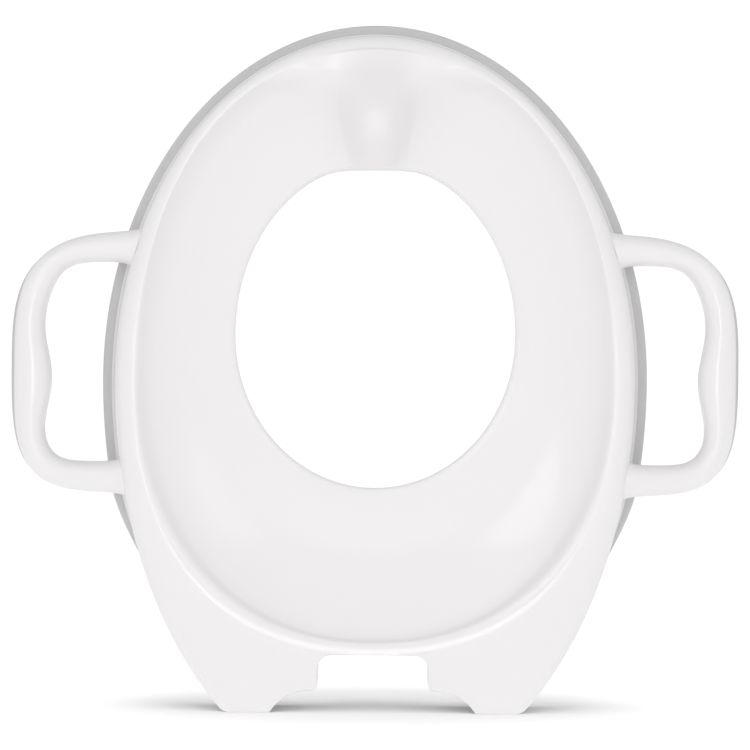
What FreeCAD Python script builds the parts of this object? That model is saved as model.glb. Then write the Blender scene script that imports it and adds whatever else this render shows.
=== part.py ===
import FreeCAD, Part
import math
import os
import Sketcher

from FreeCAD import Vector

# Potty training seat, standing on its two feet as it is stored. The sitting side faces -Y, +Z is up,
# and the origin is on the floor under the middle of the seat. Lengths in millimetres, angles in degrees.

DOC = FreeCAD.newDocument("potty_training_seat")

SIZES = {
    # Outline of the white rim, half ellipses about the widest line
    "middle_height": 165.9,
    "seat_half_width": 130.2,
    "seat_top_reach": 172.0,
    "seat_tail_reach": 203.0,
    # Crest between the dished seat and the flat rim
    "rim_width_side": 11.6,
    "rim_width_top": 8.5,
    "crest_tail_height": 34.2,
    "crest_fullness": 2.2,
    # Opening for the child, egg shaped with a flat front edge
    "opening_height": 188.5,
    "opening_half_width": 70.4,
    "opening_rise": 87.5,
    "opening_drop": 76.9,
    "opening_flat": 84.0,
    "opening_corner": 3.0,
    "opening_edge": 2.2,
    # Section of the moulding
    "wall": 3.0,
    "dish_depth": 16.5,
    "dish_bank": 11.0,
    "dish_bank_run": 7.0,
    "roll_side": 8.0,
    "roll_top": 11.0,
    "roll_tail": 2.5,
    "crest_soft_side": 4.0,
    "crest_soft_tail": 1.1,
    "skirt_depth": 32.5,
    "skirt_draft": 2.2,
    "lip_reach": 3.7,
    "lip_thick": 4.0,
    "lip_run_in": 3.0,
    "collar_length": 25.5,
    "collar_draft": 3.0,
    # Splash nose
    "nose_half_width": 9.0,
    "nose_flare": 130.0,
    "nose_root": 11.4,
    "nose_blend": 12.0,
    "nose_end": 11.0,
    "nose_end_depth": 0.7,
    "nose_rise": 16.0,
    "nose_tip_above_flat": 20.5,
    "nose_tip_width": 17.0,
    "nose_tip_rise": 24.0,
    "nose_tip_fall": 13.0,
    # Soft band round the foot of the skirt
    "band_reach": 7.7,
    "band_depth": 4.5,
    "band_proud": 1.5,
    "band_under": 2.0,
    "band_end_height": 60.0,
    "band_thin_edge": 0.3,
    "band_fade": 55.0,
    # Tail, feet, arch and notch
    "arch_half_width": 51.3,
    "arch_height": 11.0,
    "arch_radius": 23.0,
    "notch_half_width": 27.6,
    "notch_top": 28.9,
    "notch_corner": 7.0,
    "notch_mouth": 3.5,
    "foot_corner": 8.0,
    # Handles
    "handle_height": 174.1,
    "handle_half_height": 65.3,
    "handle_reach": 51.0,
    "handle_bar": 15.3,
    "handle_grip_width": 17.1,
    "handle_front": 4.5,
    "handle_depth": 18.0,
    "finger_wave": 1.8,
    "finger_pitch": 55.0,
    "palm_drop": 8.2,
    "root_flare": 2.5,
    "root_flare_run": 5.0,
    # Soft grips behind the handles
    "grip_reach": 2.0,
    "grip_reach_end": 0.3,
    "grip_inset": 1.5,
    "grip_cover": 8.5,
    "grip_thick": 6.0,
    "grip_turn": 48.0,
}

# How far cutting tools run past what they cut
CLEAR = 5.0

# Two places closer than this are one
SAME_PLACE = 1e-6


def make_sheet():
    sheet = DOC.addObject("Spreadsheet::Sheet", "Dimensions")
    for row, (name, value) in enumerate(SIZES.items(), start=1):
        sheet.set(f"A{row}", name)
        sheet.set(f"B{row}", str(value))
        sheet.setAlias(f"B{row}", name)
    DOC.recompute()
    return sheet


SHEET = make_sheet()


def size(name):
    return float(SHEET.get(name))


# Rays: every curve round the seat is walked by the same turn angle, counted from +X towards +Z

RAYS = 64
RAY_CROWDING = 0.25
TURN_STEP = 0.01


def ray_turn(index):
    """Turn angle of one ray; rays crowd together at the nose and at the tail."""
    even = 2 * math.pi * index / RAYS
    return even + RAY_CROWDING * math.sin(2 * even)


def blend(low, high, share):
    share = min(max(share, 0.0), 1.0)
    share = share * share * (3 - 2 * share)
    return low + (high - low) * share


def by_side(turn, top, side, tail):
    """A size that changes smoothly from the top of the seat over its sides to its tail."""
    lift = math.sin(turn)
    return side + (top - side) * max(lift, 0.0) ** 2 + (tail - side) * max(-lift, 0.0) ** 2


def oval(turn, half_width, rise, drop, fullness, height):
    across, up = math.cos(turn), math.sin(turn)
    power = 2 / fullness
    x = half_width * math.copysign(abs(across) ** power, across)
    reach = rise if up > 0 else drop
    return Vector(x, 0, height + reach * math.copysign(abs(up) ** power, up))


def outline(turn):
    """Silhouette of the white rim."""
    return oval(
        turn,
        size("seat_half_width"),
        size("seat_top_reach"),
        size("seat_tail_reach"),
        2,
        size("middle_height"),
    )


def crest(turn):
    """Line where the flat rim turns down into the dished seat."""
    middle = size("middle_height")
    return oval(
        turn,
        size("seat_half_width") - size("rim_width_side"),
        size("seat_top_reach") - size("rim_width_top"),
        middle - size("crest_tail_height"),
        size("crest_fullness"),
        middle,
    )


def opening(turn):
    """Edge of the opening: two half ellipses, cut off by the flat front edge with soft corners."""
    point = oval(
        turn,
        size("opening_half_width"),
        size("opening_rise"),
        size("opening_drop"),
        2,
        size("opening_height"),
    )
    flat = opening_flat_height()
    corner = size("opening_corner")
    point.z = (point.z + flat - math.hypot(point.z - flat, corner)) / 2
    return point


def outward(curve, turn):
    """Unit vector that leaves a curve square to it, in the plane of the seat."""
    along = curve(turn + TURN_STEP) - curve(turn - TURN_STEP)
    return Vector(along.z, 0, -along.x).normalize()


def beside(curve, turn, distance, depth):
    """Point at a distance outside a curve and at a depth behind the rim's front plane."""
    point = curve(turn) + outward(curve, turn) * distance
    return Vector(point.x, depth, point.z)


# Splash nose: the rim runs down between the two thigh hollows, narrows like a horn and rises to a round tip


def opening_flat_height():
    return size("opening_height") + size("opening_flat")


def nose_share(x, z, inset):
    """1 on the nose, 0 in the dish, smooth between; its edge is a hyperbola that runs out along the rim."""
    if z < size("opening_height"):
        return 0.0
    soft = size("nose_blend")
    root = size("middle_height") + size("seat_top_reach") - size("rim_width_top") - size("nose_root")
    flare = size("nose_flare")
    base = size("nose_half_width") - flare / (root - opening_flat_height())
    below, aside = root - z, abs(x) - base
    inside = (flare - below * aside) / math.hypot(below, aside, soft) - inset
    return blend(0, 1, inside / soft + 0.5)


def nose_tip(x, z, inset):
    """How far the round tip of the nose stands forward."""
    tip = opening_flat_height() + size("nose_tip_above_flat")
    reach = size("nose_tip_rise") if z > tip else size("nose_tip_fall")
    across = x / (size("nose_tip_width") - inset)
    along = (z - tip) / reach
    return size("nose_rise") * math.exp(-across * across - along * along)


def with_nose(point, inset):
    """Lift a point of the seat, given by its depth, onto the nose."""
    share = nose_share(point.x, point.z, inset)
    fall = blend(1, 0, (point.z - opening_flat_height()) / size("nose_end"))
    level = size("dish_depth") * size("nose_end_depth") * fall
    depth = point.y + (level - point.y) * share - nose_tip(point.x, point.z, inset)
    return Vector(point.x, depth, point.z)


# The moulding's section along one ray, from the collar's end over the seat to the skirt's foot


def dish_point(turn, from_crest, inset):
    """Point of the dished seat at a distance inside the crest; inset moves it into the moulding."""
    start, end = crest(turn), opening(turn)
    span = (end - start).Length
    bank = size("dish_bank")
    slope = (size("dish_depth") - bank) / span
    depth = bank * (1 - math.exp(-from_crest / size("dish_bank_run"))) + slope * from_crest
    point = start + (end - start) * (from_crest / span)
    return with_nose(Vector(point.x, depth, point.z), inset) + Vector(0, inset, 0)


DISH_SHARES = (0.93, 0.78, 0.6, 0.44)
BANK_STEPS = (2.4, 1.5, 0.75)
ROLL_ANGLES = (0, 18, 45, 72, 90)
RIM_SHARES = (0.3, 0.7)
ROLL_SHARE = 0.8
CREST_DROP = 0.0875

# Places along the section where the skin's lines run, counted in spans of its curve
OUTSIDE_STOPS = (
    0, 1.5, 2, 2.5, 3, 4, 4.5, 5, 5.5, 6, 7, 8.5, 9.5, 10, 10.5, 11.5,
    13, 14, 14.75, 15.5, 16.25, 17, 18.5, 19, 20, 21,
)
INSIDE_STOPS = (0, 2, 3, 5, 7, 9, 11, 13.5, 15.5, 18, 21)


def rim_roll(turn):
    """Radius over which the rim rolls into the skirt, never wider than most of the rim."""
    roll = by_side(turn, size("roll_top"), size("roll_side"), size("roll_tail"))
    return min(roll, ROLL_SHARE * (outline(turn) - crest(turn)).Length)


def foot_share(turn):
    """1 where the skirt's foot carries the full band, 0 on the tail, where the band has ended."""
    return blend(0, 1, (outline(turn).z - size("band_end_height")) / size("band_fade"))


def skirt_lean(turn):
    """How far the skirt stands out at its foot, from its draft."""
    return size("skirt_draft") * foot_share(turn)


def skirt_lip(turn):
    """Reach of the lip at the skirt's foot."""
    return size("lip_reach") * foot_share(turn)


def section(turn, inset):
    """Poles of one ray's section. inset 0 is the outside of the moulding; the wall, its inside."""
    draft = math.tan(math.radians(size("collar_draft")))
    edge = size("opening_edge")
    deep = size("dish_depth") + inset
    back = size("skirt_depth") + size("collar_length")
    points = []
    for depth in (back, (back + deep) / 2, deep + 2 * edge):
        points.append(beside(opening, turn, inset + (depth - deep) * draft, depth))
    for aside, depth in ((0, deep + edge / 2), (edge / 2, deep)):
        point = beside(opening, turn, inset + aside, depth - inset)
        points.append(with_nose(point, inset) + Vector(0, inset, 0))
    span = (crest(turn) - opening(turn)).Length
    for share in DISH_SHARES:
        points.append(dish_point(turn, share * span, inset))
    soft = by_side(turn, size("crest_soft_side"), size("crest_soft_side"), size("crest_soft_tail"))
    slide = (opening(turn) - crest(turn)).normalize() * (inset / 2)
    for step in BANK_STEPS:
        points.append(dish_point(turn, soft * step + inset / 2, inset))
    point = crest(turn) + slide + Vector(0, soft * CREST_DROP, 0)
    points.append(with_nose(point, inset) + Vector(0, inset, 0))
    roll = rim_roll(turn)
    rim_start = beside(outline, turn, -roll, 0)
    for share in RIM_SHARES:
        point = crest(turn) + (rim_start - crest(turn)) * share
        points.append(with_nose(point, inset) + Vector(0, inset, 0))
    inner_roll = max(roll - inset, roll / 4)
    for angle in ROLL_ANGLES:
        turned = math.radians(angle)
        aside = -inset - inner_roll * (1 - math.sin(turned))
        depth = inset + inner_roll * (1 - math.cos(turned))
        points.append(beside(outline, turn, aside, depth))
    skirt, lean = size("skirt_depth"), skirt_lean(turn)
    lip = lean if inset else skirt_lip(turn)
    lip_start, run_in = skirt - size("lip_thick"), size("lip_run_in")
    for depth in (lip_start - run_in, lip_start - run_in / 3):
        points.append(beside(outline, turn, lean - inset, depth))
    for depth in (lip_start, skirt):
        points.append(beside(outline, turn, lip - inset, depth))
    return points


def section_curve(turn, inset):
    """Smooth curve of one ray's section, guided by its poles."""
    poles = section(turn, inset)
    spans = len(poles) - 3
    curve = Part.BSplineCurve()
    curve.buildFromPolesMultsKnots(
        poles, [4] + [1] * (spans - 1) + [4], list(range(spans + 1)), False, 3
    )
    return curve


def smooth_line(points, closed):
    line = Part.BSplineCurve()
    line.interpolate(
        Points=points, PeriodicFlag=closed, Parameters=[float(i) for i in range(len(points) + closed)]
    )
    return line


def flat_strip(first, second):
    """Plane face between two lines that lie at one depth."""
    near, far = first.toShape(), second.toShape()
    joins = [Part.makeLine(near.Vertexes[i].Point, far.Vertexes[i].Point) for i in (1, 0)]
    return Part.Face(Part.Wire([near, joins[0], far, joins[1]]))


def strip(first, second):
    """Face that spans straight across from one line to the next."""
    depths = [pole.y for pole in first.getPoles() + second.getPoles()]
    if max(depths) - min(depths) < SAME_PLACE:
        return flat_strip(first, second)
    surface = Part.BSplineSurface()
    surface.buildFromPolesMultsKnots(
        [[near, far] for near, far in zip(first.getPoles(), second.getPoles())],
        first.getMultiplicities(),
        [2, 2],
        first.getKnots(),
        [0, 1],
        first.isPeriodic(),
        False,
        first.Degree,
        1,
    )
    return surface.toShape()


def closed_solid(faces):
    shell = Part.Shell(faces)
    shell.sewShape()
    solid = Part.Solid(shell)
    if solid.Volume < 0:
        solid.reverse()
    return solid


QUARTERS = 4


def quarters(line):
    """A line round the seat, parted at the seat's middle plane and at its widest line."""
    count = RAYS // QUARTERS
    parts = []
    for i in range(QUARTERS):
        part = line.copy()
        part.segment((i + 1) * count, (i + 2) * count)
        parts.append(part)
    return parts


def ring_lines(inset, stops):
    """Lines round the seat, one through each stop of every ray's section."""
    curves = [section_curve(ray_turn(i), inset) for i in range(RAYS)]
    return [smooth_line([curve.value(stop) for curve in curves], True) for stop in stops]


def ring_solid():
    """Thin moulding: its outside, its inside, the skirt's foot and the collar's end."""
    lines = ring_lines(0.0, OUTSIDE_STOPS) + ring_lines(size("wall"), INSIDE_STOPS)[::-1]
    parted = [quarters(line) for line in lines]
    faces = []
    for first, second in zip(parted, parted[1:] + parted[:1]):
        faces += [strip(near, far) for near, far in zip(first, second)]
    return closed_solid(faces)


def tube_solid(sections):
    """Solid through closed sections, closed at its two ends by flat faces."""
    lines = [smooth_line(list(points), False) for points in zip(*sections)]
    faces = [strip(first, second) for first, second in zip(lines, lines[1:] + lines[:1])]
    for points in (sections[0], sections[-1]):
        faces.append(Part.Face(Part.makePolygon(points + points[:1])))
    return closed_solid(faces)


# Handles: a bar that leaves the skirt, turns down round the hand and comes back, wider where it is held

HANDLE_STATIONS = 61
HANDLE_POINTS = 16
OUTER_FULLNESS = (2.95, 3.8)
INNER_FULLNESS = (5.5, 7.0)
BAR_FULLNESS = 2.4
WAVE_SPREAD = 2.0
QUARTER_TURN = 90


def handle_root(height):
    """How far out the handle starts at a height: in the middle of the skirt's wall."""
    rise = height - size("middle_height")
    share = rise / (size("seat_top_reach") if rise > 0 else size("seat_tail_reach"))
    skirt = size("skirt_depth") - size("lip_thick") - size("lip_run_in") - size("roll_side")
    depth = size("handle_front") + size("handle_depth") / 2 - size("roll_side")
    inward = size("wall") / 2 - size("skirt_draft") * depth / skirt
    return size("seat_half_width") * math.sqrt(1 - share * share) - inward


def handle_edge(turn, reach, half_height, fullness):
    """One edge of the handle, a full half oval that starts and ends in the skirt."""
    power = fullness[0 if turn > 0 else 1]
    across, up = math.cos(turn), math.sin(turn)
    share = (abs(across) ** power + abs(up) ** power) ** (-1 / power)
    height = size("handle_height") + half_height * up * share
    root = handle_root(height)
    return Vector(root + (reach - root) * across * share, 0, height)


def handle_outer(turn):
    reach = size("seat_half_width") + size("handle_reach")
    return handle_edge(turn, reach, size("handle_half_height"), OUTER_FULLNESS)


def handle_inner(turn):
    """Inner edge, with a swell for the palm between two hollows for the fingers."""
    reach = size("seat_half_width") + size("handle_reach") - size("handle_grip_width")
    point = handle_edge(turn, reach, size("handle_half_height") - size("handle_bar"), INNER_FULLNESS)
    palm = size("handle_height") - size("palm_drop")
    wave = math.cos(2 * math.pi * (point.z - palm) / size("finger_pitch"))
    point.x -= size("finger_wave") * wave * blend(0, 1, WAVE_SPREAD * math.cos(turn) ** 2)
    return point


def handle_section(turn, outer_extra, inner_extra, front, back, fullness):
    """Closed section between the two edges; the extras widen it, front and back are depths."""
    outer, inner = handle_outer(turn), handle_inner(turn)
    across = (outer - inner).normalize()
    outer += across * outer_extra
    inner -= across * inner_extra
    middle = (outer + inner) / 2
    half_width = (outer - inner).Length / 2
    half_depth = (back - front) / 2
    points = []
    for i in range(HANDLE_POINTS):
        spot = oval(2 * math.pi * i / HANDLE_POINTS, half_width, half_depth, half_depth, fullness, 0)
        points.append(middle + across * spot.x + Vector(0, front + half_depth + spot.z, 0))
    return points


def root_flare(turn):
    """Extra on both edges of the bar where it runs into the skirt."""
    outer = handle_outer(turn)
    return size("root_flare") * math.exp((handle_root(outer.z) - outer.x) / size("root_flare_run"))


def turns(first, last, count):
    step = (last - first) / (count - 1)
    return [math.radians(first + step * i) for i in range(count)]


def handle_bar():
    front = size("handle_front")
    back = front + size("handle_depth")
    sections = []
    for turn in turns(-QUARTER_TURN, QUARTER_TURN, HANDLE_STATIONS):
        flare = root_flare(turn)
        sections.append(handle_section(turn, flare, flare, front, back, BAR_FULLNESS))
    return tube_solid(sections)


# Soft grip behind the handle; it stands proud on the outer side and stays back from the fingers' edge

GRIP_STATIONS = 25
GRIP_FULLNESS = 3.2
GRIP_TAPER = 3


def grip_blank():
    front = size("handle_front") + size("grip_cover")
    back = size("handle_front") + size("handle_depth") + size("grip_thick")
    middle, end, inset = size("grip_reach"), size("grip_reach_end"), size("grip_inset")
    half_turn = size("grip_turn")
    sections = []
    for turn in turns(-half_turn, half_turn, GRIP_STATIONS):
        share = abs(math.degrees(turn)) / half_turn
        reach = middle + (end - middle) * share**GRIP_TAPER
        sections.append(handle_section(turn, reach, -inset, front, back, GRIP_FULLNESS))
    return tube_solid(sections)


# Soft band round the skirt's foot: a full bead round the seat that thins out along the tail

BAND_STATIONS = 61
BAND_CORNER_STEPS = 3
BAND_ROUND = 0.8
BAND_THIN = 0.35


def band_end_turn():
    """Turn below the widest line at which the outline comes down to the band's end."""
    drop = (size("middle_height") - size("band_end_height")) / size("seat_tail_reach")
    return math.degrees(math.asin(drop))


def band_section(turn):
    share = foot_share(turn)
    lip = skirt_lip(turn)
    outer = lip + (size("band_reach") - size("lip_reach")) * share + size("band_thin_edge")
    inner = skirt_lean(turn) - size("band_under")
    back = size("skirt_depth") + size("band_proud")
    front = back - size("band_depth") * (BAND_THIN + (1 - BAND_THIN) * share)
    radius = BAND_ROUND * (back - front) / 2
    points = []
    for quarter, (side, depth) in enumerate(
        ((outer - radius, back - radius), (inner + radius, back - radius), (inner + radius, front + radius),
         (outer - radius, front + radius))
    ):
        for step in range(BAND_CORNER_STEPS + 1):
            angle = math.pi / 2 * (quarter + step / BAND_CORNER_STEPS)
            points.append(
                beside(outline, turn, side + radius * math.cos(angle), depth + radius * math.sin(angle))
            )
    return points


def band_blank():
    end = band_end_turn()
    return tube_solid([band_section(turn) for turn in turns(-end, 2 * QUARTER_TURN + end, BAND_STATIONS)])


# Document objects


MIDDLE_OF_DEPTH = "-(Dimensions.skirt_depth + Dimensions.collar_length - Dimensions.nose_rise) / 2"


def bind(item, **expressions):
    for name, expression in expressions.items():
        item.setExpression(name, expression)
    return item


def at_depth(item, depth="0"):
    """Depths count from the rim's front plane; the middle of the seat's depth is over the origin."""
    return bind(item, **{".Placement.Base.y": f"{MIDDLE_OF_DEPTH} + {depth}"})


def add_shape(name, shape):
    item = DOC.addObject("Part::Feature", name)
    item.Shape = shape
    return at_depth(item)


def add_join(name, *parts):
    item = DOC.addObject("Part::MultiFuse", name)
    item.Shapes = list(parts)
    return item


def add_cut(name, base, tool):
    item = DOC.addObject("Part::Cut", name)
    item.Base = base
    item.Tool = tool
    return item


def add_common(name, *parts):
    item = DOC.addObject("Part::MultiCommon", name)
    item.Shapes = list(parts)
    return item


def add_mirror(name, source):
    item = DOC.addObject("Part::Mirroring", name)
    item.Source = source
    item.Normal = (1, 0, 0)
    return item


def add_run(name, profile, forward, rearward):
    """A profile in the seat's plane, run forward and rearward of the rim's front plane."""
    item = DOC.addObject("Part::Extrusion", name)
    item.Base = profile
    item.DirMode = "Custom"
    item.Dir = (0, 1, 0)
    item.Solid = True
    return bind(item, LengthFwd=rearward, LengthRev=forward)


def upright(item):
    """Stand a flat profile up in the seat's plane."""
    item.Placement = FreeCAD.Placement(Vector(0, 0, 0), FreeCAD.Rotation(Vector(1, 0, 0), 90))
    return at_depth(item)


# Arch between the feet and the notch above it: one sketch for the cut and for the wall round it

START, END = 1, 2
FLOOR_LINE, MIDDLE_LINE = -1, -2
SIDE_ITEMS = ("foot", "arch", "arch_top", "mouth", "notch_side", "corner")
FOOT, ARCH, ARCH_TOP, MOUTH, NOTCH_SIDE, CORNER = range(len(SIDE_ITEMS))
LEFT_SIDE = len(SIDE_ITEMS)


def draw_tail_side(sketch, side):
    """Foot, arch, mouth and notch of one side, from below the floor to the notch's top corner."""
    arch, mouth, notch = size("arch_half_width"), size("notch_mouth"), size("notch_half_width")
    rise, top, corner = size("arch_height"), size("notch_top"), size("notch_corner")
    radius = size("arch_radius")
    run = math.sqrt(radius**2 - (radius - rise) ** 2)
    lean = math.asin(run / radius) / 2
    bulge = 1 - math.sqrt(0.5)
    spots = [
        (arch, -CLEAR),
        (arch, 0),
        (arch - run + radius * math.sin(lean), rise - radius + radius * math.cos(lean)),
        (arch - run, rise),
        (notch + mouth, rise),
        (notch + mouth * bulge, rise + mouth * bulge),
        (notch, rise + mouth),
        (notch, top - corner),
        (notch - corner * bulge, top - corner * bulge),
        (notch - corner, top),
    ]
    points = [Vector(side * x, z, 0) for x, z in spots]
    sketch.addGeometry(Part.LineSegment(points[0], points[1]))
    sketch.addGeometry(Part.Arc(points[1], points[2], points[3]))
    sketch.addGeometry(Part.LineSegment(points[3], points[4]))
    sketch.addGeometry(Part.Arc(points[4], points[5], points[6]))
    sketch.addGeometry(Part.LineSegment(points[6], points[7]))
    sketch.addGeometry(Part.Arc(points[7], points[8], points[9]))
    return points[0], points[9]


def meet(sketch, kind, first, second):
    """Join two neighbours at the ends where they touch."""
    for first_end in (START, END):
        for second_end in (START, END):
            spot = sketch.getPoint(first, first_end)
            if spot.isEqual(sketch.getPoint(second, second_end), SAME_PLACE):
                sketch.addConstraint(Sketcher.Constraint(kind, first, first_end, second, second_end))


def fix(sketch, name, kind, *where):
    """A named dimension of the sketch, bound to the cell of the same name."""
    index = sketch.addConstraint(Sketcher.Constraint(kind, *where, size(name)))
    sketch.renameConstraint(index, name)
    sketch.setExpression("Constraints." + name, "Dimensions." + name)


def tail_sketch():
    sketch = upright(DOC.addObject("Sketcher::SketchObject", "arch_and_notch"))
    right_low, right_corner = draw_tail_side(sketch, 1)
    left_low, left_corner = draw_tail_side(sketch, -1)
    bottom = sketch.addGeometry(Part.LineSegment(left_low, right_low))
    top = sketch.addGeometry(Part.LineSegment(left_corner, right_corner))
    for first, kinds in (
        (0, ("Coincident", "Tangent", "Tangent", "Tangent", "Tangent")),
        (LEFT_SIDE, ("Coincident", "Tangent", "Tangent", "Coincident", "Tangent")),
    ):
        for step, kind in enumerate(kinds):
            meet(sketch, kind, first + step, first + step + 1)
        meet(sketch, "Coincident", bottom, first)
    meet(sketch, "Tangent", CORNER, top)
    meet(sketch, "Coincident", LEFT_SIDE + CORNER, top)
    for line in (FOOT, ARCH_TOP, NOTCH_SIDE):
        for end in (START, END):
            sketch.addConstraint(
                Sketcher.Constraint("Symmetric", line, end, LEFT_SIDE + line, end, MIDDLE_LINE)
            )
    sketch.addConstraint(Sketcher.Constraint("Symmetric", top, START, top, END, MIDDLE_LINE))
    sketch.addConstraint(Sketcher.Constraint("Vertical", FOOT))
    sketch.addConstraint(Sketcher.Constraint("Horizontal", ARCH_TOP))
    sketch.addConstraint(Sketcher.Constraint("Vertical", NOTCH_SIDE))
    sketch.addConstraint(Sketcher.Constraint("PointOnObject", FOOT, END, FLOOR_LINE))
    sketch.addConstraint(Sketcher.Constraint("DistanceY", FOOT, START, FLOOR_LINE, START, CLEAR))
    fix(sketch, "arch_half_width", "DistanceX", FLOOR_LINE, START, FOOT, END)
    fix(sketch, "arch_height", "DistanceY", FLOOR_LINE, START, ARCH_TOP, START)
    fix(sketch, "arch_radius", "Radius", ARCH)
    fix(sketch, "notch_mouth", "Radius", MOUTH)
    fix(sketch, "notch_half_width", "DistanceX", FLOOR_LINE, START, NOTCH_SIDE, START)
    fix(sketch, "notch_corner", "Radius", CORNER)
    fix(sketch, "notch_top", "DistanceY", FLOOR_LINE, START, top, START)
    return sketch


# The moulding: skin, handles, hollow and tail

FORWARD = f"Dimensions.nose_rise + {CLEAR}"
REARWARD = f"Dimensions.skirt_depth + Dimensions.collar_length + {CLEAR}"


def add_tail_frame(sketch):
    """Walls round the arch and the notch and the soles of the feet; they end inside the moulding's wall."""
    wall_outline = DOC.addObject("Part::Offset2D", "tail_wall_outline")
    wall_outline.Source = sketch
    wall_outline.Join = "Intersection"
    bind(wall_outline, Value="Dimensions.wall")
    wall = add_run("tail_wall", wall_outline, FORWARD, REARWARD)
    walls = add_join("tail_walls", wall, add_floor("sole", "Dimensions.wall"))
    edge = upright(DOC.addObject("Part::Ellipse", "tail_edge"))
    edge.Placement.Rotation = edge.Placement.Rotation * FreeCAD.Rotation(Vector(0, 0, 1), 90)
    bind(
        edge,
        MajorRadius="Dimensions.seat_tail_reach - Dimensions.wall / 2",
        MinorRadius="Dimensions.seat_half_width - Dimensions.wall / 2",
        **{".Placement.Base.z": "Dimensions.middle_height"},
    )
    room = add_run("tail_room", edge, "-Dimensions.wall / 2", "Dimensions.skirt_depth")
    return add_common("tail_frame", walls, room)


HALVINGS = 40


def foot_corner_turn():
    """Turn at which the rounding of a foot's outer corner leaves the outline."""
    radius = size("foot_corner")
    low, high = -math.pi / 2, 0.0
    for _ in range(HALVINGS):
        middle = (low + high) / 2
        if beside(outline, middle, -radius, 0).z < radius:
            low = middle
        else:
            high = middle
    return low


def foot_corner_waste():
    """What the rounding takes away from the right foot, from in front of the seat to behind it."""
    radius, turn = size("foot_corner"), foot_corner_turn()
    centre = beside(outline, turn, -radius, 0)
    lean = math.atan2(centre.z - outline(turn).z, outline(turn).x - centre.x)
    middle_angle = (math.pi / 2 + lean) / 2
    middle = centre + Vector(math.cos(middle_angle), 0, -math.sin(middle_angle)) * radius
    start, touch = Vector(centre.x, 0, 0), outline(turn)
    far = beside(outline, turn, CLEAR, 0)
    corner = Part.Arc(start, middle, touch).toShape()
    sides = Part.makePolygon([touch, far, Vector(far.x, 0, -CLEAR), Vector(start.x, 0, -CLEAR), start])
    profile = Part.Face(Part.Wire([corner] + sides.Edges))
    front = -size("nose_rise") - CLEAR
    back = size("skirt_depth") + size("collar_length") + CLEAR
    profile.translate(Vector(0, front, 0))
    return profile.extrude(Vector(0, back - front, 0))


def add_floor(name, top):
    """Everything under a height, as wide and deep as the whole seat."""
    floor = DOC.addObject("Part::Box", name)
    wide = "Dimensions.seat_half_width * 4"
    bind(
        floor,
        Length=wide,
        Width=f"({FORWARD}) + ({REARWARD})",
        Height="Dimensions.seat_tail_reach",
        **{
            ".Placement.Base.x": "-Dimensions.seat_half_width * 2",
            ".Placement.Base.z": f"{top} - Dimensions.seat_tail_reach",
        },
    )
    return at_depth(floor, f"-({FORWARD})")


def add_seat_shell():
    ring = add_shape("seat_ring", ring_solid())
    right_bar = add_shape("right_bar", handle_bar())
    left_bar = add_mirror("left_bar", right_bar)
    sketch = tail_sketch()
    frame = add_tail_frame(sketch)
    moulding = add_join("moulding", ring, right_bar, left_bar, frame)
    cutter = add_run("arch_and_notch_cut", sketch, FORWARD, REARWARD)
    right_corner = add_shape("right_foot_corner", foot_corner_waste())
    left_corner = add_mirror("left_foot_corner", right_corner)
    trims = add_join("trims", cutter, add_floor("floor", "0"), right_corner, left_corner)
    return add_cut("seat_shell", moulding, trims)


def add_soft_parts():
    """Soft parts are moulded round the white one, so each is its full form less what it is moulded on."""
    band_form = add_shape("band_form", band_blank())
    grip_form = add_shape("grip_form", grip_blank())
    band = add_cut("nonskid_edge", band_form, DOC.getObject("seat_ring"))
    right = add_cut("right_grip", grip_form, DOC.getObject("right_bar"))
    return [band, right, add_mirror("left_grip", right)]


def check_and_write(pieces):
    for item in DOC.Objects:
        if "Invalid" in item.State or "Error" in item.State:
            raise RuntimeError(f"{item.Name} failed: {item.State}")
    for piece in pieces:
        if piece.Shape.isNull() or not piece.Shape.isValid():
            raise RuntimeError(f"{piece.Name} has no valid shape")
    os.makedirs("parts", exist_ok=True)
    for piece in pieces:
        piece.Shape.exportStep(f"parts/{piece.Label}.step")


all_pieces = [add_seat_shell()] + add_soft_parts()
DOC.recompute()
check_and_write(all_pieces)
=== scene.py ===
import math

import bmesh
import bpy
import numpy as np
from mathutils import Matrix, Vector


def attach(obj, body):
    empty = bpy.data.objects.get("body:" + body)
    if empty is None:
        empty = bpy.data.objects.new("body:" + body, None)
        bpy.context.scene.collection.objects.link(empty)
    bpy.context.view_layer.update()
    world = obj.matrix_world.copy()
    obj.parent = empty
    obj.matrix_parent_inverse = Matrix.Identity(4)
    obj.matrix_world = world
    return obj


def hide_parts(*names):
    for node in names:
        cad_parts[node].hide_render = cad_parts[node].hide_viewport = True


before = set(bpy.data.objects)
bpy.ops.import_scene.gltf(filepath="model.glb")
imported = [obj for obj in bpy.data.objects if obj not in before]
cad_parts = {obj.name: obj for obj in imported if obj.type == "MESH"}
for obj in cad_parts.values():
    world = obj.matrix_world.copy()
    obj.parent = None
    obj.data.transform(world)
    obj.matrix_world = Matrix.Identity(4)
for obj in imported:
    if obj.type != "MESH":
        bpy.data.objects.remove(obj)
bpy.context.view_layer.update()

# Sizes in millimetres, the same as the moulding's own

MM = 0.001

# Outline of the seat, and the crest line inside its rim
MIDDLE = 165.9
HALF_WIDTH = 130.2
TOP_REACH = 172.0
TAIL_REACH = 203.0
RIM_SIDE = 11.6
RIM_TOP = 8.5
CREST_TAIL = 34.2
CREST_FULL = 2.2

# Opening, with its flat front edge
HOLE_Z = 188.5
HOLE_HALF = 70.4
HOLE_RISE = 87.5
HOLE_DROP = 76.9
HOLE_FLAT = 84.0
HOLE_CORNER = 3.0
HOLE_EDGE = 2.2

# Wall, dish, and the bank that leads down into the dish
WALL = 3.0
DISH = 16.5
BANK = 11.0
BANK_RUN = 7.0
BANK_STEPS = (2.4, 1.5, 0.75)
DISH_SHARES = (0.93, 0.78, 0.6, 0.44)

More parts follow.
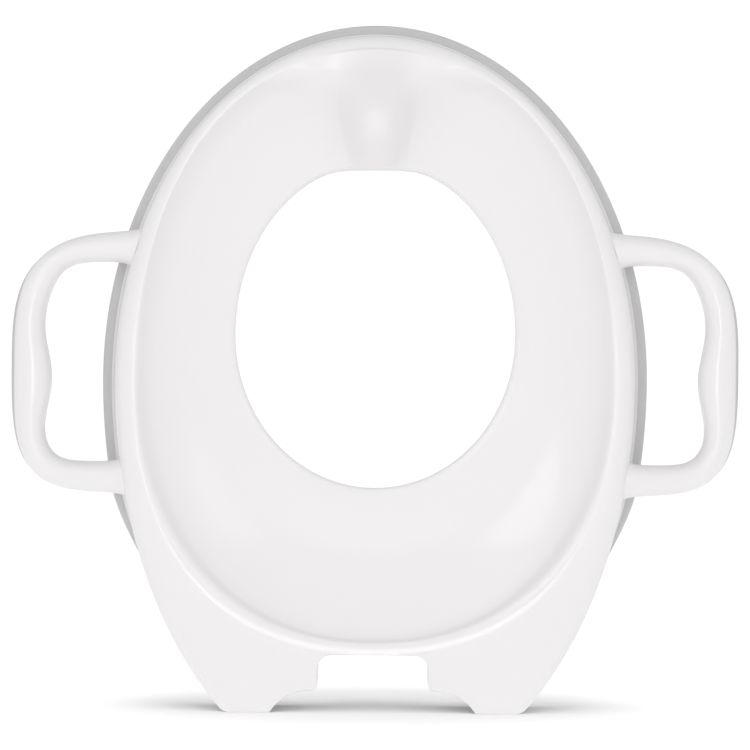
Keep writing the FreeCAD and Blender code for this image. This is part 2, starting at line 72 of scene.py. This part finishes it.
# Crest and rolled rim
SOFT_SIDE = 4.0
SOFT_TAIL = 1.1
CREST_DROP = 0.0875
RIM_SHARES = (0.3, 0.7)
ROLL_SIDE = 8.0
ROLL_TOP = 11.0
ROLL_TAIL = 2.5
ROLL_SHARE = 0.8
ROLL_ANGLES = (0, 18, 45, 72, 90)

# Skirt with its foot lip, and the collar underneath
SKIRT = 32.5
LEAN = 2.2
LIP = 3.7
LIP_THICK = 4.0
LIP_RUN = 3.0
COLLAR = 25.5
DRAFT = 3.0

# Splash nose
NOSE_HALF = 9.0
NOSE_FLARE = 130.0
NOSE_ROOT = 11.4
NOSE_BLEND = 12.0
NOSE_END = 11.0
NOSE_LEVEL = 0.7
NOSE_RISE = 16.0
TIP_UP = 20.5
TIP_WIDE = 17.0
TIP_RISE = 24.0
TIP_FALL = 13.0

# Soft band round the skirt's foot
BAND_REACH = 7.7
BAND_DEPTH = 4.5
BAND_PROUD = 1.5
BAND_UNDER = 2.0
BAND_END = 60.0
BAND_EDGE = 0.3
BAND_FADE = 55.0
BAND_THIN = 0.35
BAND_ROUND = 0.8

# Arch, notch and feet
ARCH_HALF = 51.3
ARCH_UP = 11.0
ARCH_R = 23.0
NOTCH_HALF = 27.6
NOTCH_UP = 28.9
NOTCH_R = 7.0
NOTCH_MOUTH = 3.5
FOOT_R = 8.0

# Handles
HANDLE_Z = 174.1
HANDLE_HALF = 65.3
HANDLE_OUT = 51.0
HANDLE_FRONT = 4.5
HANDLE_DEEP = 18.0
BAR = 15.3
BAR_FULL = 2.4
OUTER_FULL = (2.95, 3.8)
INNER_FULL = (5.5, 7.0)
WAVE = 1.8
PITCH = 55.0
PALM = 8.2
FLARE = 2.5
FLARE_RUN = 5.0

# Soft grips on the handles
GRIP_WIDE = 17.1
GRIP_REACH = 2.0
GRIP_END = 0.3
GRIP_INSET = 1.5
GRIP_COVER = 8.5
GRIP_THICK = 6.0
GRIP_TURN = 48.0
GRIP_FULL = 3.2

# Half the depth over all, so that the seat's middle comes to the frame's origin
SHIFT = (SKIRT + COLLAR - NOSE_RISE) / 2

# How far cutting tools run past what they cut
CUT_FRONT = -40.0
CUT_BACK = SKIRT + COLLAR + 10
CUT_DOWN = -5.0
CLEAR = 10.0

# Points and steps along each form
RAYS = 384
RAY_CROWDING = 0.25
TURN_STEP = 0.01
OUTSIDE_STEPS = 5
INSIDE_STEPS = 2
BAR_STATIONS = 181
GRIP_STATIONS = 121
BAR_POINTS = 48
BAND_STATIONS = 401
BAND_CORNER_POINTS = 8
TAIL_STATIONS = 121
ARCH_STEPS = 24
MOUTH_STEPS = 8
NOTCH_STEPS = 16
FOOT_STEPS = 12
FOOT_STATIONS = 4001
FOOT_HALVINGS = 60
SHARP_ANGLE = 35


def smooth(share):
    share = np.clip(share, 0, 1)
    return share * share * (3 - 2 * share)


def by_side(turn, top, side, tail):
    """A size that changes round the seat, from its top over the sides to its tail."""
    lift = np.sin(turn)
    return side + (top - side) * np.maximum(lift, 0) ** 2 + (tail - side) * np.maximum(-lift, 0) ** 2


def power_of(value, power):
    return np.copysign(np.abs(value) ** power, value)


def oval(turn, half, rise, drop, full, height):
    across, up = np.cos(turn), np.sin(turn)
    reach = np.where(up > 0, rise, drop)
    return np.stack([half * power_of(across, 2 / full), height + reach * power_of(up, 2 / full)], -1)


def outline(turn):
    return oval(turn, HALF_WIDTH, TOP_REACH, TAIL_REACH, 2, MIDDLE)


def crest(turn):
    return oval(turn, HALF_WIDTH - RIM_SIDE, TOP_REACH - RIM_TOP, MIDDLE - CREST_TAIL, CREST_FULL, MIDDLE)


def opening(turn):
    point = oval(turn, HOLE_HALF, HOLE_RISE, HOLE_DROP, 2, HOLE_Z)
    over = point[..., 1] - HOLE_Z - HOLE_FLAT
    point[..., 1] = (point[..., 1] + HOLE_Z + HOLE_FLAT - np.hypot(over, HOLE_CORNER)) / 2
    return point


def outward(curve, turn):
    """Directions square to a curve, away from its inside."""
    along = curve(turn + TURN_STEP) - curve(turn - TURN_STEP)
    side = np.stack([along[..., 1], -along[..., 0]], -1)
    return side / np.linalg.norm(side, axis=-1, keepdims=True)


def at(flat, depth):
    """A flat point (x, z) with a depth as (x, depth, z)."""
    return np.stack([flat[..., 0], np.broadcast_to(depth, flat.shape[:-1]), flat[..., 1]], -1)


def beside(curve, turn, distance, depth):
    """Points at a distance outside a curve, each at its depth."""
    return at(curve(turn) + outward(curve, turn) * np.reshape(distance, (-1, 1)), depth)


def with_nose(point, inset):
    """Points of the seat, raised where the splash nose is."""
    x, depth, z = point[..., 0], point[..., 1], point[..., 2]
    flat = HOLE_Z + HOLE_FLAT
    root = MIDDLE + TOP_REACH - RIM_TOP - NOSE_ROOT
    base = NOSE_HALF - NOSE_FLARE / (root - flat)
    below, aside = root - z, np.abs(x) - base
    inside = (NOSE_FLARE - below * aside) / np.sqrt(below**2 + aside**2 + NOSE_BLEND**2) - inset
    share = smooth(inside / NOSE_BLEND + 0.5) * (z >= HOLE_Z)
    level = DISH * NOSE_LEVEL * (1 - smooth((z - flat) / NOSE_END))
    tip = flat + TIP_UP
    reach = np.where(z > tip, TIP_RISE, TIP_FALL)
    bump = NOSE_RISE * np.exp(-((x / (TIP_WIDE - inset)) ** 2) - ((z - tip) / reach) ** 2)
    return np.stack([x, depth + (level - depth) * share - bump, z], -1)


def dish_point(turn, inside, inset):
    """Points of the dish at a distance inside the crest."""
    start, end = crest(turn), opening(turn)
    span = np.linalg.norm(end - start, axis=-1)
    depth = BANK * (1 - np.exp(-inside / BANK_RUN)) + (DISH - BANK) / span * inside
    point = start + (end - start) * (inside / span)[:, None]
    return with_nose(at(point, depth), inset) + [0, inset, 0]


def foot_share(turn):
    """1 where the skirt's foot has its whole lip, 0 at the tail."""
    return smooth((outline(turn)[..., 1] - BAND_END) / BAND_FADE)


def section(turn, inset):
    """Poles of every ray's section, from the collar's end over the seat to the skirt's foot."""
    draft = math.tan(math.radians(DRAFT))
    deep, back = DISH + inset, SKIRT + COLLAR
    rows = []
    for depth in (back, (back + deep) / 2, deep + 2 * HOLE_EDGE):
        rows.append(beside(opening, turn, np.full(len(turn), inset + (depth - deep) * draft), depth))
    for aside, depth in ((0, deep + HOLE_EDGE / 2), (HOLE_EDGE / 2, deep)):
        edge = beside(opening, turn, np.full(len(turn), inset + aside), depth - inset)
        rows.append(with_nose(edge, inset) + [0, inset, 0])
    span = np.linalg.norm(crest(turn) - opening(turn), axis=-1)
    for share in DISH_SHARES:
        rows.append(dish_point(turn, share * span, inset))
    soft = by_side(turn, SOFT_SIDE, SOFT_SIDE, SOFT_TAIL)
    inward = opening(turn) - crest(turn)
    inward = inward / np.linalg.norm(inward, axis=-1, keepdims=True) * inset / 2
    for step in BANK_STEPS:
        rows.append(dish_point(turn, soft * step + inset / 2, inset))
    rows.append(with_nose(at(crest(turn) + inward, soft * CREST_DROP), inset) + [0, inset, 0])
    rim = np.linalg.norm(outline(turn) - crest(turn), axis=-1)
    roll = np.minimum(by_side(turn, ROLL_TOP, ROLL_SIDE, ROLL_TAIL), ROLL_SHARE * rim)
    start = beside(outline, turn, -roll, 0.0)
    for share in RIM_SHARES:
        point = at(crest(turn), 0.0) * (1 - share) + start * share
        rows.append(with_nose(point, inset) + [0, inset, 0])
    inner = np.maximum(roll - inset, roll / 4)
    for angle in ROLL_ANGLES:
        turned = math.radians(angle)
        aside = -inset - inner * (1 - math.sin(turned))
        rows.append(beside(outline, turn, aside, inset + inner * (1 - math.cos(turned))))
    lean = LEAN * foot_share(turn)
    lip = lean if inset else LIP * foot_share(turn)
    foot = SKIRT - LIP_THICK
    for depth in (foot - LIP_RUN, foot - LIP_RUN / 3):
        rows.append(beside(outline, turn, lean - inset, depth))
    for depth in (foot, SKIRT):
        rows.append(beside(outline, turn, lip - inset, depth))
    return np.stack(rows)


def share_of(run, width):
    """A run as a share of its width, 0 where there is no width."""
    return np.divide(run, width, where=width > 0, out=np.zeros(run.shape))


def along_poles(poles, steps):
    """Points of the clamped uniform cubic curves with these poles, steps to each span."""
    count = len(poles)
    spans = count - 3
    knots = np.concatenate([[0] * 3, np.arange(spans + 1), [spans] * 3]).astype(float)
    stops = np.linspace(0, spans, spans * steps + 1)
    stops[-1] -= 1e-9
    begun, ended = knots[:-1] <= stops[:, None], knots[1:] <= stops[:, None]
    weights = (begun & ~ended).astype(float)
    for degree in (1, 2, 3):
        starts, ends = knots[: -degree - 1], knots[degree + 1 :]
        low = share_of(stops[:, None] - starts, knots[degree:-1] - starts)
        high = share_of(ends - stops[:, None], ends - knots[1:-degree])
        weights = low * weights[:, :-1] + high * weights[:, 1:]
    return np.tensordot(weights, poles, 1)


def grid_faces(rows, columns, close_rows, close_columns):
    """Four-sided faces between the neighbours of a grid of points, as rows of point numbers."""
    i = np.arange(rows if close_rows else rows - 1)[:, None]
    j = np.arange(columns if close_columns else columns - 1)[None, :]
    below, right = (i + 1) % rows, (j + 1) % columns
    here, under = i * columns, below * columns
    return np.stack([here + j, here + right, under + right, under + j], -1).reshape(-1, 4)


def crisp(mesh):
    """Smooth shading that stops at real edges."""
    mesh.shade_smooth()
    mesh.set_sharp_from_angle(angle=math.radians(SHARP_ANGLE))


def mesh_object(name, points, faces):
    mesh = bpy.data.meshes.new(name)
    flat = np.asarray(points, float).reshape(-1, 3) * MM
    flat[:, 1] -= SHIFT * MM
    mesh.from_pydata(flat.tolist(), [], [list(map(int, face)) for face in faces])
    mesh.validate()
    obj = bpy.data.objects.new(name, mesh)
    bpy.context.scene.collection.objects.link(obj)
    work = bmesh.new()
    work.from_mesh(mesh)
    bmesh.ops.recalc_face_normals(work, faces=work.faces)
    work.to_mesh(mesh)
    work.free()
    crisp(mesh)
    return obj


# White moulding


def ray_turns():
    """Turns of the rays, closer together at the top and the tail."""
    even = 2 * math.pi * np.arange(RAYS) / RAYS
    return even + RAY_CROWDING * np.sin(2 * even)


def seat_ring():
    turn = ray_turns()
    outside = along_poles(section(turn, 0.0), OUTSIDE_STEPS)
    inside = along_poles(section(turn, WALL), INSIDE_STEPS)[::-1]
    points = np.concatenate([outside, inside])
    faces = grid_faces(len(points), RAYS, True, True)
    return mesh_object("seat_ring", points, faces)


def handle_root(height):
    """How far out the handle meets the skirt at a height."""
    rise = height - MIDDLE
    share = rise / np.where(rise > 0, TOP_REACH, TAIL_REACH)
    depth = HANDLE_FRONT + HANDLE_DEEP / 2 - ROLL_SIDE
    inward = WALL / 2 - LEAN * depth / (SKIRT - LIP_THICK - LIP_RUN - ROLL_SIDE)
    return HALF_WIDTH * np.sqrt(1 - share * share) - inward


def handle_edge(turn, reach, half_height, full):
    power = np.where(turn > 0, full[0], full[1])
    across, up = np.cos(turn), np.sin(turn)
    share = (np.abs(across) ** power + np.abs(up) ** power) ** (-1 / power)
    height = HANDLE_Z + half_height * up * share
    root = handle_root(height)
    return np.stack([root + (reach - root) * across * share, height], -1)


def handle_sections(turn, outer_extra, inner_extra, front, back, full):
    reach = HALF_WIDTH + HANDLE_OUT
    outer = handle_edge(turn, reach, HANDLE_HALF, OUTER_FULL)
    inner = handle_edge(turn, reach - GRIP_WIDE, HANDLE_HALF - BAR, INNER_FULL)
    wave = np.cos(2 * np.pi * (inner[:, 1] - HANDLE_Z + PALM) / PITCH)
    inner[:, 0] -= WAVE * wave * smooth(2 * np.cos(turn) ** 2)
    across = outer - inner
    across /= np.linalg.norm(across, axis=-1, keepdims=True)
    outer = outer + across * np.reshape(outer_extra, (-1, 1))
    inner = inner - across * np.reshape(inner_extra, (-1, 1))
    middle = (outer + inner) / 2
    half = np.linalg.norm(outer - inner, axis=-1)[:, None] / 2
    spot = oval(2 * np.pi * np.arange(BAR_POINTS) / BAR_POINTS, 1, 1, 1, full, 0)
    half_depth = (back - front) / 2
    flat = middle[:, None, :] + across[:, None, :] * (half * spot[None, :, 0])[..., None]
    return at(flat, front + half_depth * (1 + spot[None, :, 1]))


def root_flare(turn):
    outer = handle_edge(turn, HALF_WIDTH + HANDLE_OUT, HANDLE_HALF, OUTER_FULL)
    return FLARE * np.exp((handle_root(outer[:, 1]) - outer[:, 0]) / FLARE_RUN)


def tube(name, sections):
    stations, around = sections.shape[:2]
    faces = [list(face) for face in grid_faces(stations, around, False, True)]
    faces.append(list(range(around)))
    faces.append(list(range((stations - 1) * around, stations * around)))
    return mesh_object(name, sections, faces)


def mirrored(sections):
    return sections * [-1, 1, 1]


def arc(x, z, radius, start, end, steps):
    """Points on a circle about (x, z), from one angle to another in degrees."""
    angles = np.radians(np.linspace(start, end, steps + 1))
    return [(x + radius * math.cos(a), z + radius * math.sin(a)) for a in angles]


def both_sides(right):
    return right + [(-x, z) for x, z in reversed(right)]


def tail_profile(wall=0.0):
    """Arch and notch from the right foot over the notch to the left foot, as (x, z)."""
    run = math.sqrt(ARCH_R**2 - (ARCH_R - ARCH_UP) ** 2)
    top = ARCH_UP - ARCH_R
    low = math.degrees(math.asin(-top / (ARCH_R + wall)))
    right = arc(ARCH_HALF - run, top, ARCH_R + wall, low, 90, ARCH_STEPS)
    right.insert(0, (right[0][0], CUT_DOWN))
    if wall:
        right.append((NOTCH_HALF + wall, ARCH_UP + wall))
    else:
        mouth = (NOTCH_HALF + NOTCH_MOUTH, ARCH_UP + NOTCH_MOUTH)
        right += arc(*mouth, NOTCH_MOUTH, 270, 180, MOUTH_STEPS)
    right += arc(NOTCH_HALF - NOTCH_R, NOTCH_UP - NOTCH_R, NOTCH_R + wall, 0, 90, NOTCH_STEPS)
    return both_sides(right)


def prism(name, profile, front, back):
    count = len(profile)
    points = [(x, front, z) for x, z in profile] + [(x, back, z) for x, z in profile]
    faces = [[i, (i + 1) % count, (i + 1) % count + count, i + count] for i in range(count)]
    faces += [list(range(count)), list(range(count, 2 * count))]
    return mesh_object(name, points, faces)


def combine(target, tool, how):
    """The target joined with the tool, or cut by it. The tool is used up."""
    modifier = target.modifiers.new(how, "BOOLEAN")
    modifier.operation = how
    modifier.solver = "EXACT"
    modifier.object = tool
    bpy.context.view_layer.update()
    shape = target.evaluated_get(bpy.context.evaluated_depsgraph_get())
    mesh = bpy.data.meshes.new_from_object(shape)
    target.modifiers.clear()
    old = target.data
    target.data = mesh
    bpy.data.meshes.remove(old)
    bpy.data.objects.remove(tool)
    return target


def tail_frame():
    """Walls round the arch and notch with the soles of the feet, inside the moulding's wall."""
    turn = np.linspace(math.pi, 2 * math.pi, TAIL_STATIONS)
    inset = WALL / 2
    edge = oval(turn, HALF_WIDTH - inset, TOP_REACH, TAIL_REACH - inset, 2, MIDDLE)
    lower = [(x, z) for x, z in edge if z < NOTCH_UP + 2 * CLEAR]
    block = prism("tail_frame", lower, inset, SKIRT)
    aside, over = ARCH_HALF + 6 * CLEAR, 9 * CLEAR
    edges = [(-aside, WALL), (-aside, over), (aside, over), (aside, WALL)]
    room = prism("tail_room", edges, -CLEAR, SKIRT + CLEAR)
    walls = prism("tail_walls", tail_profile(WALL), -2 * CLEAR, SKIRT + 2 * CLEAR)
    return combine(block, combine(room, walls, "DIFFERENCE"), "DIFFERENCE")


def foot_corner():
    """What the rounding of a foot's outer corner takes away, as (x, z)."""
    turn = np.linspace(1.5 * math.pi, 2 * math.pi, FOOT_STATIONS)
    edge = outline(turn)
    low, high = HALF_WIDTH / 4, HALF_WIDTH
    for _ in range(FOOT_HALVINGS):
        middle = (low + high) / 2
        reach = np.hypot(edge[:, 0] - middle, edge[:, 1] - FOOT_R).min()
        low, high = (middle, high) if reach > FOOT_R else (low, middle)
    gaps = np.hypot(edge[:, 0] - low, edge[:, 1] - FOOT_R)
    touch = edge[gaps.argmin()] - [low, FOOT_R]
    end = math.degrees(math.atan2(touch[1], touch[0]))
    round_edge = arc(low, FOOT_R, FOOT_R, -90, end, FOOT_STEPS)
    far = (round_edge[-1][0] + touch[0], round_edge[-1][1] + touch[1])
    return round_edge + [far, (far[0], CUT_DOWN), (low, CUT_DOWN)]


def seat_shell():
    ring = seat_ring()
    turn = np.radians(np.linspace(-90, 90, BAR_STATIONS))
    flare = root_flare(turn)
    bar = handle_sections(turn, flare, flare, HANDLE_FRONT, HANDLE_FRONT + HANDLE_DEEP, BAR_FULL)
    ring = combine(ring, tube("right_bar", bar), "UNION")
    ring = combine(ring, tube("left_bar", mirrored(bar)), "UNION")
    ring = combine(ring, tail_frame(), "UNION")
    ring = combine(ring, prism("arch_and_notch", tail_profile(), CUT_FRONT, CUT_BACK), "DIFFERENCE")
    corner = foot_corner()
    for points in (corner, [(-x, z) for x, z in corner]):
        ring = combine(ring, prism("foot_corner", points, CUT_FRONT, CUT_BACK), "DIFFERENCE")
    aside, under = 3 * HALF_WIDTH, -TAIL_REACH
    low = [(-aside, 0), (-aside, under), (aside, under), (aside, 0)]
    ring = combine(ring, prism("ground", low, CUT_FRONT, CUT_BACK), "DIFFERENCE")
    ring.name = "seat_shell_finish"
    crisp(ring.data)
    return ring


def edge_band():
    drop = math.asin((MIDDLE - BAND_END) / TAIL_REACH)
    turn = np.linspace(-drop, math.pi + drop, BAND_STATIONS)
    share = foot_share(turn)
    outer = BAND_REACH * share + BAND_EDGE
    inner = LEAN * share - BAND_UNDER
    back = SKIRT + BAND_PROUD
    front = back - BAND_DEPTH * (BAND_THIN + (1 - BAND_THIN) * share)
    radius = BAND_ROUND * (back - front) / 2
    corners = (
        (outer - radius, back - radius),
        (inner + radius, back - radius),
        (inner + radius, front + radius),
        (outer - radius, front + radius),
    )
    rows = []
    for quarter, (side, depth) in enumerate(corners):
        for angle in np.linspace(quarter, quarter + 1, BAND_CORNER_POINTS) * math.pi / 2:
            aside = side + radius * math.cos(angle)
            rows.append(beside(outline, turn, aside, depth + radius * math.sin(angle)))
    return tube("nonskid_edge_finish", np.stack(rows, 1))


def hand_grip(name, mirror):
    turn = np.radians(np.linspace(-GRIP_TURN, GRIP_TURN, GRIP_STATIONS))
    front, back = HANDLE_FRONT + GRIP_COVER, HANDLE_FRONT + HANDLE_DEEP + GRIP_THICK
    reach = GRIP_REACH + (GRIP_END - GRIP_REACH) * np.abs(turn / math.radians(GRIP_TURN)) ** 3
    sections = handle_sections(turn, reach, -GRIP_INSET, front, back, GRIP_FULL)
    return tube(name, mirrored(sections) if mirror else sections)


shell = seat_shell()
band = edge_band()
right_grip = hand_grip("right_grip_finish", False)
left_grip = hand_grip("left_grip_finish", True)

for piece, node in (
    (shell, "seat_shell"),
    (band, "nonskid_edge"),
    (right_grip, "right_grip"),
    (left_grip, "left_grip"),
):
    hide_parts(node)
    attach(piece, "root")


# Finishes

PLASTIC_IOR = 1.46
COAT_ROUGHNESS = 0.06
CLOUD_SIZE = 0.06
CLOUD_DETAIL = 3
GRAIN_DETAIL = 4
EDGE_SOFTNESS = 0.0008
EDGE_SAMPLES = 6
RELIEF_DEPTH = 0.0002


def add_node(tree, kind, settings=None, inputs=None):
    """A node with its settings, and with each input at a value or joined to a socket."""
    node = tree.nodes.new(kind)
    for name, value in (settings or {}).items():
        setattr(node, name, value)
    for name, value in (inputs or {}).items():
        if isinstance(value, bpy.types.NodeSocket):
            tree.links.new(value, node.inputs[name])
        else:
            node.inputs[name].default_value = value
    return node


def worked(tree, operation, *values):
    """What a Math node makes of values and sockets."""
    node = add_node(tree, "ShaderNodeMath", {"operation": operation}, dict(enumerate(values)))
    return node.outputs["Value"]


def vector_worked(tree, operation, result, *values):
    """What a Vector Math node makes of values and sockets, as its Vector or its Value."""
    node = add_node(tree, "ShaderNodeVectorMath", {"operation": operation}, dict(enumerate(values)))
    return node.outputs[result]


def ranged(tree, source, low, high, start=0.0, end=1.0, curve="LINEAR"):
    """A socket that runs from low to high while its source runs from start to end."""
    ends = {"From Min": start, "From Max": end, "To Min": low, "To Max": high}
    settings = {"interpolation_type": curve}
    node = add_node(tree, "ShaderNodeMapRange", settings, {"Value": source, **ends})
    return node.outputs["Result"]


def noise(tree, place, size, detail):
    inputs = {"Vector": place, "Scale": 1 / size, "Detail": detail}
    return add_node(tree, "ShaderNodeTexNoise", inputs=inputs).outputs["Fac"]


def plastic_finish(name, colour, roughness, coat, grain, grain_size, bump, variation):
    """Moulded plastic with a faint cloud in its colour and a fine grain in its gloss and relief."""
    finish = bpy.data.materials.new(name)
    finish.use_nodes = True
    tree = finish.node_tree
    place = add_node(tree, "ShaderNodeTexCoord").outputs["Object"]
    cloud = noise(tree, place, CLOUD_SIZE, CLOUD_DETAIL)
    fine = noise(tree, place, grain_size, GRAIN_DETAIL)
    darker = [c * (1 - variation) for c in colour]
    # Sockets 6 and 7 are the two colours of a mix, its output 2 the colour it gives
    tints = {0: cloud, 6: (*darker, 1), 7: (*colour, 1)}
    tint = add_node(tree, "ShaderNodeMix", {"data_type": "RGBA"}, tints).outputs[2]
    soften = add_node(tree, "ShaderNodeBevel", {"samples": EDGE_SAMPLES}, {"Radius": EDGE_SOFTNESS})
    grains = {
        "Strength": bump,
        "Distance": RELIEF_DEPTH,
        "Height": fine,
        "Normal": soften.outputs["Normal"],
    }
    relief = add_node(tree, "ShaderNodeBump", inputs=grains)
    gloss = ranged(tree, fine, roughness - grain, roughness + grain)
    shader = tree.nodes["Principled BSDF"]
    shader.inputs["IOR"].default_value = PLASTIC_IOR
    shader.inputs["Coat Weight"].default_value = coat
    shader.inputs["Coat Roughness"].default_value = COAT_ROUGHNESS
    tree.links.new(tint, shader.inputs["Base Color"])
    tree.links.new(gloss, shader.inputs["Roughness"])
    tree.links.new(relief.outputs["Normal"], shader.inputs["Normal"])
    return finish


SOFT_TOUCH = {
    "roughness": 0.5,
    "coat": 0.0,
    "grain": 0.08,
    "grain_size": 0.0006,
    "bump": 0.25,
    "variation": 0.05,
}

white = plastic_finish(
    "white_moulded_plastic",
    colour=(0.885, 0.869, 0.876),
    roughness=0.3,
    coat=0.4,
    grain=0.02,
    grain_size=0.004,
    bump=0.01,
    variation=0.012,
)
grey_edge = plastic_finish("grey_soft_edge", colour=(0.62, 0.62, 0.62), **SOFT_TOUCH)
grey_grip = plastic_finish("grey_soft_grip", colour=(0.60, 0.60, 0.60), **SOFT_TOUCH)
for piece, finish in ((shell, white), (band, grey_edge), (right_grip, grey_grip), (left_grip, grey_grip)):
    piece.data.materials.clear()
    piece.data.materials.append(finish)


# Ground

GROUND_HALF = 6.0
TABLE_COLOUR = (0.9, 0.9, 0.9, 1)
TABLE_GLOW = 0.3

# Paper near the feet with painted shade where the seat stands over it (an ambient occlusion node darkens
# its colour and its glow), and the white sweep round it
PAINTED_SHADE_REACH = 0.06
PAINTED_SHADE_SAMPLES = 16
PAINTED_SHADE_LOOK = {"Y": -0.8, "Z": 0.6}
PAINTED_SHADE_POWER = 0.9
NEAR_COLOUR = 0.72
NEAR_GLOW = 0.38
NEAR_MIDDLE = (0, 0.015, 0)
NEAR_HALF = (0.16, 0.105)
NEAR_FULL = 0.55
SWEEP_GLOW = 1.03


def stage_plane(name, half):
    corners = [(-half, -half, 0), (half, -half, 0), (half, half, 0), (-half, half, 0)]
    mesh = bpy.data.meshes.new(name)
    mesh.from_pydata(corners, [], [[0, 1, 2, 3]])
    obj = bpy.data.objects.new(name, mesh)
    bpy.context.scene.collection.objects.link(obj)
    return obj


def matte(tree, colour):
    return add_node(tree, "ShaderNodeBsdfDiffuse", inputs={"Color": colour}).outputs["BSDF"]


def glowing(tree, strength):
    return add_node(tree, "ShaderNodeEmission", inputs={"Strength": strength}).outputs["Emission"]


def added(tree, first, second):
    return add_node(tree, "ShaderNodeAddShader", inputs={0: first, 1: second}).outputs["Shader"]


def mixed(tree, share, first, second):
    return add_node(tree, "ShaderNodeMixShader", inputs={0: share, 1: first, 2: second}).outputs["Shader"]


def pale_ground():
    """Paper that is white for the camera, with painted shade near the feet, and a softly lit table for
    all other rays.
    """
    paper = bpy.data.materials.new("pale_ground")
    paper.use_nodes = True
    paper.cycles.emission_sampling = "NONE"
    tree = paper.node_tree
    tree.nodes.clear()

    # Painted shade: an ambient occlusion node that looks toward the front and up darkens the paper's
    # colour and its camera glow near the feet, so a painted shadow lies under and behind the seat
    look = add_node(tree, "ShaderNodeCombineXYZ", inputs=PAINTED_SHADE_LOOK).outputs["Vector"]
    reach = {"Distance": PAINTED_SHADE_REACH, "Normal": look}
    painted_contact_shade = add_node(tree, "ShaderNodeAmbientOcclusion", {"samples": PAINTED_SHADE_SAMPLES}, reach)
    shade = worked(tree, "POWER", painted_contact_shade.outputs["AO"], PAINTED_SHADE_POWER)
    near_matte = matte(tree, worked(tree, "MULTIPLY", shade, NEAR_COLOUR))
    near_glow = glowing(tree, worked(tree, "MULTIPLY", shade, NEAR_GLOW))

    place = add_node(tree, "ShaderNodeTexCoord").outputs["Object"]
    off = vector_worked(tree, "SUBTRACT", "Vector", place, NEAR_MIDDLE)
    scaled = vector_worked(tree, "MULTIPLY", "Vector", off, (1 / NEAR_HALF[0], 1 / NEAR_HALF[1], 0))
    away = vector_worked(tree, "LENGTH", "Value", scaled)
    fade = ranged(tree, away, 0.0, 1.0, NEAR_FULL, 1.0, "SMOOTHSTEP")

    near = added(tree, near_matte, near_glow)
    white_paper = mixed(tree, fade, near, glowing(tree, SWEEP_GLOW))
    table = added(tree, matte(tree, TABLE_COLOUR), glowing(tree, TABLE_GLOW))
    seen = add_node(tree, "ShaderNodeLightPath").outputs["Is Camera Ray"]
    surface = mixed(tree, seen, table, white_paper)
    add_node(tree, "ShaderNodeOutputMaterial", inputs={"Surface": surface})
    return paper


ground = stage_plane("ground", GROUND_HALF)
ground.data.materials.append(pale_ground())


# Studio

# Azimuth, elevation and radius of each soft lamp in degrees, and its strength
LAMPS = (
    (-15, 11, 6, 3.0),
    (0, 1, 3.5, 6.5),
    (15, 11, 6, 1.6),
)
LAMP_FALL = (1.25, 0.75)
BACKDROP = 1.05

# The tent's strength at the horizon and overhead, and its share before and behind the seat,
# each with the heights or depths of the direction between which it changes
TENT_LEVEL = 0.86
TENT_OVERHEAD = 0.69
TENT_HEIGHTS = (0.1, 1.0)
TENT_BEFORE = 1.0
TENT_BEHIND = 0.8
TENT_DEPTHS = (-0.1, 0.6)


def lamp(tree, direction, azimuth, elevation, radius):
    """1 inside a round soft lamp and 0 outside it, by the direction."""
    turn, rise = math.radians(azimuth), math.radians(elevation)
    aim = (math.sin(turn) * math.cos(rise), -math.cos(turn) * math.cos(rise), math.sin(rise))
    near = vector_worked(tree, "DOT_PRODUCT", "Value", direction, aim)
    start, end = (math.cos(math.radians(radius * fall)) for fall in LAMP_FALL)
    return ranged(tree, near, 0.0, 1.0, start, end, "SMOOTHSTEP")


def studio():
    """White backdrop for the camera, and a pale tent with lamps for all other rays."""
    world = bpy.data.worlds.new("studio")
    world.use_nodes = True
    tree = world.node_tree
    tree.nodes.clear()
    direction = add_node(tree, "ShaderNodeTexCoord").outputs["Generated"]
    lamps = 0.0
    for azimuth, elevation, radius, strength in LAMPS:
        spot = lamp(tree, direction, azimuth, elevation, radius)
        lamps = worked(tree, "MULTIPLY_ADD", spot, strength, lamps)
    way = add_node(tree, "ShaderNodeSeparateXYZ", inputs={"Vector": direction}).outputs
    by_height = ranged(tree, way["Z"], TENT_LEVEL, TENT_OVERHEAD, *TENT_HEIGHTS)
    by_depth = ranged(tree, way["Y"], TENT_BEFORE, TENT_BEHIND, *TENT_DEPTHS)
    tent = worked(tree, "ADD", lamps, worked(tree, "MULTIPLY", by_height, by_depth))
    seen = add_node(tree, "ShaderNodeLightPath").outputs["Is Camera Ray"]
    level = add_node(tree, "ShaderNodeMix", inputs={0: seen, 2: tent, 3: BACKDROP}).outputs[0]
    sky = add_node(tree, "ShaderNodeBackground", inputs={"Color": (1, 1, 1, 1), "Strength": level})
    add_node(tree, "ShaderNodeOutputWorld", inputs={"Surface": sky.outputs["Background"]})
    return world


bpy.context.scene.world = studio()

KEY_PLACE = (-0.2, -1.6, 0.9)
KEY_AIM = (0, 0, 0.17)

key = bpy.data.lights.new("key", "AREA")
key.shape = "RECTANGLE"
key.size = 0.9
key.size_y = 0.5
key.energy = 1.0
key_object = bpy.data.objects.new("key", key)
bpy.context.scene.collection.objects.link(key_object)
key_object.location = KEY_PLACE
key_object.rotation_euler = (Vector(KEY_AIM) - Vector(KEY_PLACE)).to_track_quat("-Z", "Y").to_euler()


# Camera

CAMERA_PLACE = (0, -1.506, 0.1684)
CAMERA_TILT = 90
CAMERA_ROLL = -0.45

camera_data = bpy.data.cameras.new("camera")
camera_data.sensor_width = 36
camera_data.lens = 143.2
camera = bpy.data.objects.new("camera", camera_data)
bpy.context.scene.collection.objects.link(camera)
camera.location = CAMERA_PLACE
camera.rotation_euler = (math.radians(CAMERA_TILT), math.radians(CAMERA_ROLL), 0)
bpy.context.scene.camera = camera
bpy.context.scene.view_settings.view_transform = "Standard"
